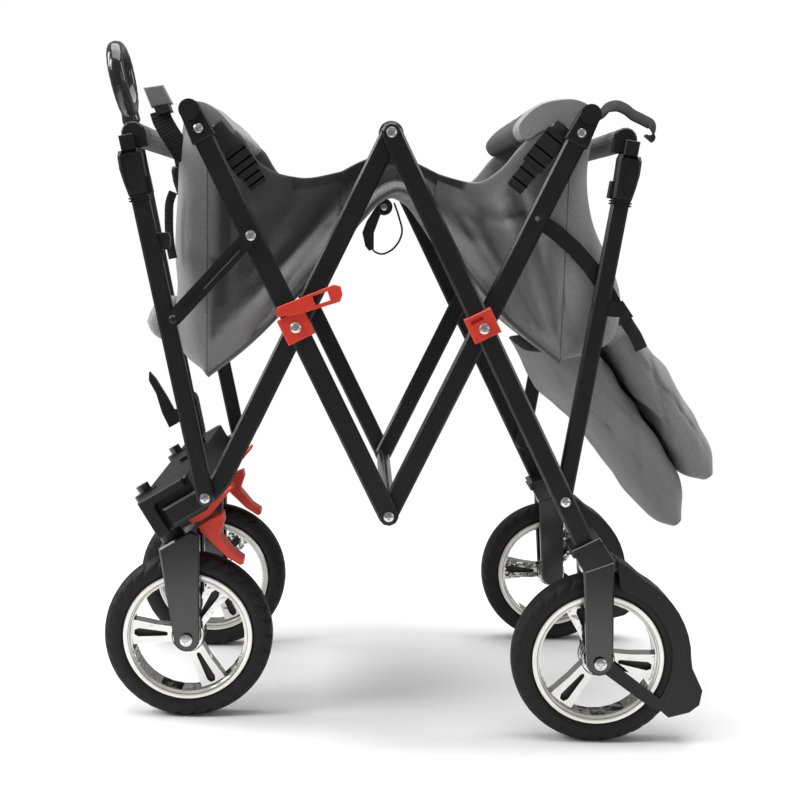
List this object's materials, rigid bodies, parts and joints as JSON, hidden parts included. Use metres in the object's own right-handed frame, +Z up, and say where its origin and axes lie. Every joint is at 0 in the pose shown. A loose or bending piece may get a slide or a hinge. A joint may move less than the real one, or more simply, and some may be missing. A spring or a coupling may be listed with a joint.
{
  "type": "folding wagon",
  "caption": "Half-folded fabric wagon with scissor side frames of flat tube, padded push bars, a pull handle, swivelling front wheels and braked rear wheels",
  "frame": {"origin": "on the floor, in the middle of the wagon's outline seen from above", "axes": "+Z up; X runs along the wagon from the swivelling front wheels at -X to the rear wheels at +X; Y runs across it, and the side with the fold latch is at -Y"},
  "size_m": [0.9044, 0.5546, 0.9678],
  "materials": {
    "black_tube": "satin",
    "black_plastic": "satin",
    "tyre_rubber": "matte",
    "chrome": "polished",
    "bare_metal": "satin",
    "red_plastic": "gloss",
    "foam": "matte",
    "grey_fabric": "matte"
  },
  "bodies": {
    "chassis": {"front_bar_near": "black_tube", "front_bar_far": "black_tube", "front_beam": "black_plastic", "swivel_catch_near": "red_plastic", "swivel_catch_far": "red_plastic", "tub_fabric": "grey_fabric", "rear_basket": "grey_fabric"},
    "front_brace": {"front_brace_near": "black_tube", "front_brace_far": "black_tube", "front_top_tube": "black_plastic", "latch_bracket": "red_plastic"},
    "latch": {"latch_lever": "red_plastic"},
    "front_links": {"front_link_near": "black_tube", "front_link_far": "black_tube"},
    "rear_leg": {"rear_leg_near": "black_tube", "rear_leg_far": "black_tube", "rear_fork_near": "black_plastic", "rear_fork_far": "black_plastic", "latch_catch": "red_plastic"},
    "rear_brace": {"rear_brace_near": "black_tube", "rear_brace_far": "black_tube", "rear_top_tube": "black_plastic", "bottom_cross_tube": "bare_metal"},
    "rear_links": {"rear_link_near": "black_tube", "rear_link_far": "black_tube"},
    "rear_posts": {"rear_post_near": "black_tube", "rear_post_far": "black_tube", "rear_grip_near": "black_plastic", "rear_grip_far": "black_plastic", "rear_push_bar": "black_plastic", "rear_push_foam": "foam"},
    "rear_button_near": {"rear_button_near": "black_plastic"},
    "rear_button_far": {"rear_button_far": "black_plastic"},
    "front_posts": {"front_post_near": "black_tube", "front_post_far": "black_tube", "front_grip_near": "black_plastic", "front_grip_far": "black_plastic", "front_push_bar": "black_plastic", "front_push_foam": "foam"},
    "front_button_near": {"front_button_near": "black_plastic"},
    "front_button_far": {"front_button_far": "black_plastic"},
    "handle_pin": {"handle_pin": "bare_metal"},
    "pull_handle": {"handle_clamp": "black_plastic", "pull_tube": "black_tube", "pull_grip": "black_plastic"},
    "clamp_lever": {"clamp_lever": "black_plastic"},
    "swivel_near": {"front_fork_near": "black_plastic"},
    "swivel_far": {"front_fork_far": "black_plastic"},
    "lock_pedal_near": {"lock_pedal_near": "red_plastic"},
    "lock_pedal_far": {"lock_pedal_far": "red_plastic"},
    "front_wheel_near": {"front_tyre_near": "tyre_rubber", "front_rim_near": "chrome"},
    "front_wheel_far": {"front_tyre_far": "tyre_rubber", "front_rim_far": "chrome"},
    "rear_wheel_near": {"rear_tyre_near": "tyre_rubber", "rear_rim_near": "chrome"},
    "rear_wheel_far": {"rear_tyre_far": "tyre_rubber", "rear_rim_far": "chrome"},
    "brake_near": {"brake_pedal_near": "black_plastic"},
    "brake_far": {"brake_pedal_far": "black_plastic"}
  },
  "joints": [
    {"name": "fold", "type": "hinge", "parent": "chassis", "child": "rear_leg", "pos_m": [-0.035, 0, 0.83], "axis": [0, -1, 0], "range_deg": [-24, 58], "deforming": ["tub_fabric", "rear_basket"]},
    {"name": "front_brace_turn", "type": "hinge", "parent": "chassis", "child": "front_brace", "pos_m": [-0.15503, 0, 0.57107], "axis": [0, -1, 0], "range_deg": [-24, 58]},
    {"name": "rear_brace_turn", "type": "hinge", "parent": "rear_leg", "child": "rear_brace", "pos_m": [0.09532, 0, 0.57609], "axis": [0, -1, 0], "range_deg": [-58, 24]},
    {"name": "front_post_turn", "type": "hinge", "parent": "chassis", "child": "front_posts", "pos_m": [-0.27313, 0, 0.33695], "axis": [0, -1, 0], "range_deg": [-13.5, 32.5]},
    {"name": "front_link_turn", "type": "hinge", "parent": "front_brace", "child": "front_links", "pos_m": [-0.21635, 0, 0.69055], "axis": [0, -1, 0], "range_deg": [-82, 34]},
    {"name": "rear_post_turn", "type": "hinge", "parent": "rear_leg", "child": "rear_posts", "pos_m": [0.21487, 0, 0.34318], "axis": [0, -1, 0], "range_deg": [-35, 14.5]},
    {"name": "rear_link_turn", "type": "hinge", "parent": "rear_brace", "child": "rear_links", "pos_m": [0.16362, 0, 0.72343], "axis": [0, -1, 0], "range_deg": [-32.5, 78]},
    {"name": "latch_turn", "type": "hinge", "parent": "front_brace", "child": "latch", "pos_m": [-0.15755, 0, 0.59787], "axis": [0, -1, 0], "range_deg": [-15, 40]},
    {"name": "handle_pin_turn", "type": "hinge", "parent": "chassis", "child": "handle_pin", "pos_m": [-0.31864, 0, 0.38312], "axis": [0, -1, 0], "range_deg": [-15, 36]},
    {"name": "pull_handle_swing", "type": "hinge", "parent": "handle_pin", "child": "pull_handle", "pos_m": [-0.31864, 0, 0.38312], "axis": [0, 1, 0], "range_deg": [-70, 0]},
    {"name": "clamp_lever_turn", "type": "hinge", "parent": "pull_handle", "child": "clamp_lever", "pos_m": [-0.35501, 0, 0.41021], "axis": [0, -1, 0], "range_deg": [0, 50]},
    {"name": "swivel_near_turn", "type": "hinge", "parent": "chassis", "child": "swivel_near", "pos_m": [-0.32769, -0.168, 0.25971], "axis": [-0.5225, 0, 0.8526], "continuous": true},
    {"name": "swivel_far_turn", "type": "hinge", "parent": "chassis", "child": "swivel_far", "pos_m": [-0.32769, 0.168, 0.25971], "axis": [-0.5225, 0, 0.8526], "continuous": true},
    {"name": "lock_pedal_near_turn", "type": "hinge", "parent": "swivel_near", "child": "lock_pedal_near", "pos_m": [-0.2831, -0.168, 0.27824], "axis": [0, -1, 0], "range_deg": [0, 6]},
    {"name": "lock_pedal_far_turn", "type": "hinge", "parent": "swivel_far", "child": "lock_pedal_far", "pos_m": [-0.2831, 0.168, 0.27824], "axis": [0, -1, 0], "range_deg": [0, 6]},
    {"name": "front_wheel_near_spin", "type": "hinge", "parent": "swivel_near", "child": "front_wheel_near", "pos_m": [-0.304, -0.168, 0.12], "axis": [0, 1, 0], "continuous": true},
    {"name": "front_wheel_far_spin", "type": "hinge", "parent": "swivel_far", "child": "front_wheel_far", "pos_m": [-0.304, 0.168, 0.12], "axis": [0, 1, 0], "continuous": true},
    {"name": "rear_wheel_near_spin", "type": "hinge", "parent": "rear_leg", "child": "rear_wheel_near", "pos_m": [0.2714, -0.24, 0.12], "axis": [0, 1, 0], "continuous": true},
    {"name": "rear_wheel_far_spin", "type": "hinge", "parent": "rear_leg", "child": "rear_wheel_far", "pos_m": [0.2714, 0.24, 0.12], "axis": [0, 1, 0], "continuous": true},
    {"name": "brake_near_press", "type": "hinge", "parent": "rear_leg", "child": "brake_near", "pos_m": [0.2714, -0.24, 0.12], "axis": [0, 1, 0], "range_deg": [0, 5]},
    {"name": "brake_far_press", "type": "hinge", "parent": "rear_leg", "child": "brake_far", "pos_m": [0.2714, 0.24, 0.12], "axis": [0, 1, 0], "range_deg": [0, 5]},
    {"name": "front_button_near_press", "type": "slide", "parent": "front_posts", "child": "front_button_near", "axis": [0.2198, 0, -0.9755], "range_m": [0, 0.0035], "stiffness_N_per_m": 600, "springref_m": -0.003},
    {"name": "front_button_far_press", "type": "slide", "parent": "front_posts", "child": "front_button_far", "axis": [0.2198, 0, -0.9755], "range_m": [0, 0.0035], "stiffness_N_per_m": 600, "springref_m": -0.003},
    {"name": "rear_button_near_press", "type": "slide", "parent": "rear_posts", "child": "rear_button_near", "axis": [-0.1444, 0, -0.9895], "range_m": [0, 0.0035], "stiffness_N_per_m": 600, "springref_m": -0.003},
    {"name": "rear_button_far_press", "type": "slide", "parent": "rear_posts", "child": "rear_button_far", "axis": [-0.1444, 0, -0.9895], "range_m": [0, 0.0035], "stiffness_N_per_m": 600, "springref_m": -0.003}
  ],
  "couplings": [
    {"joint": "front_brace_turn", "follows": "fold", "ratio": 1},
    {"joint": "rear_brace_turn", "follows": "fold", "ratio": -1},
    {"joint": "front_post_turn", "follows": "fold", "ratio": 0.555},
    {"joint": "front_link_turn", "follows": "fold", "ratio": -1.406},
    {"joint": "rear_post_turn", "follows": "fold", "ratio": -0.6},
    {"joint": "rear_link_turn", "follows": "fold", "ratio": 1.339},
    {"joint": "handle_pin_turn", "follows": "fold", "ratio": 0.62}
  ]
}
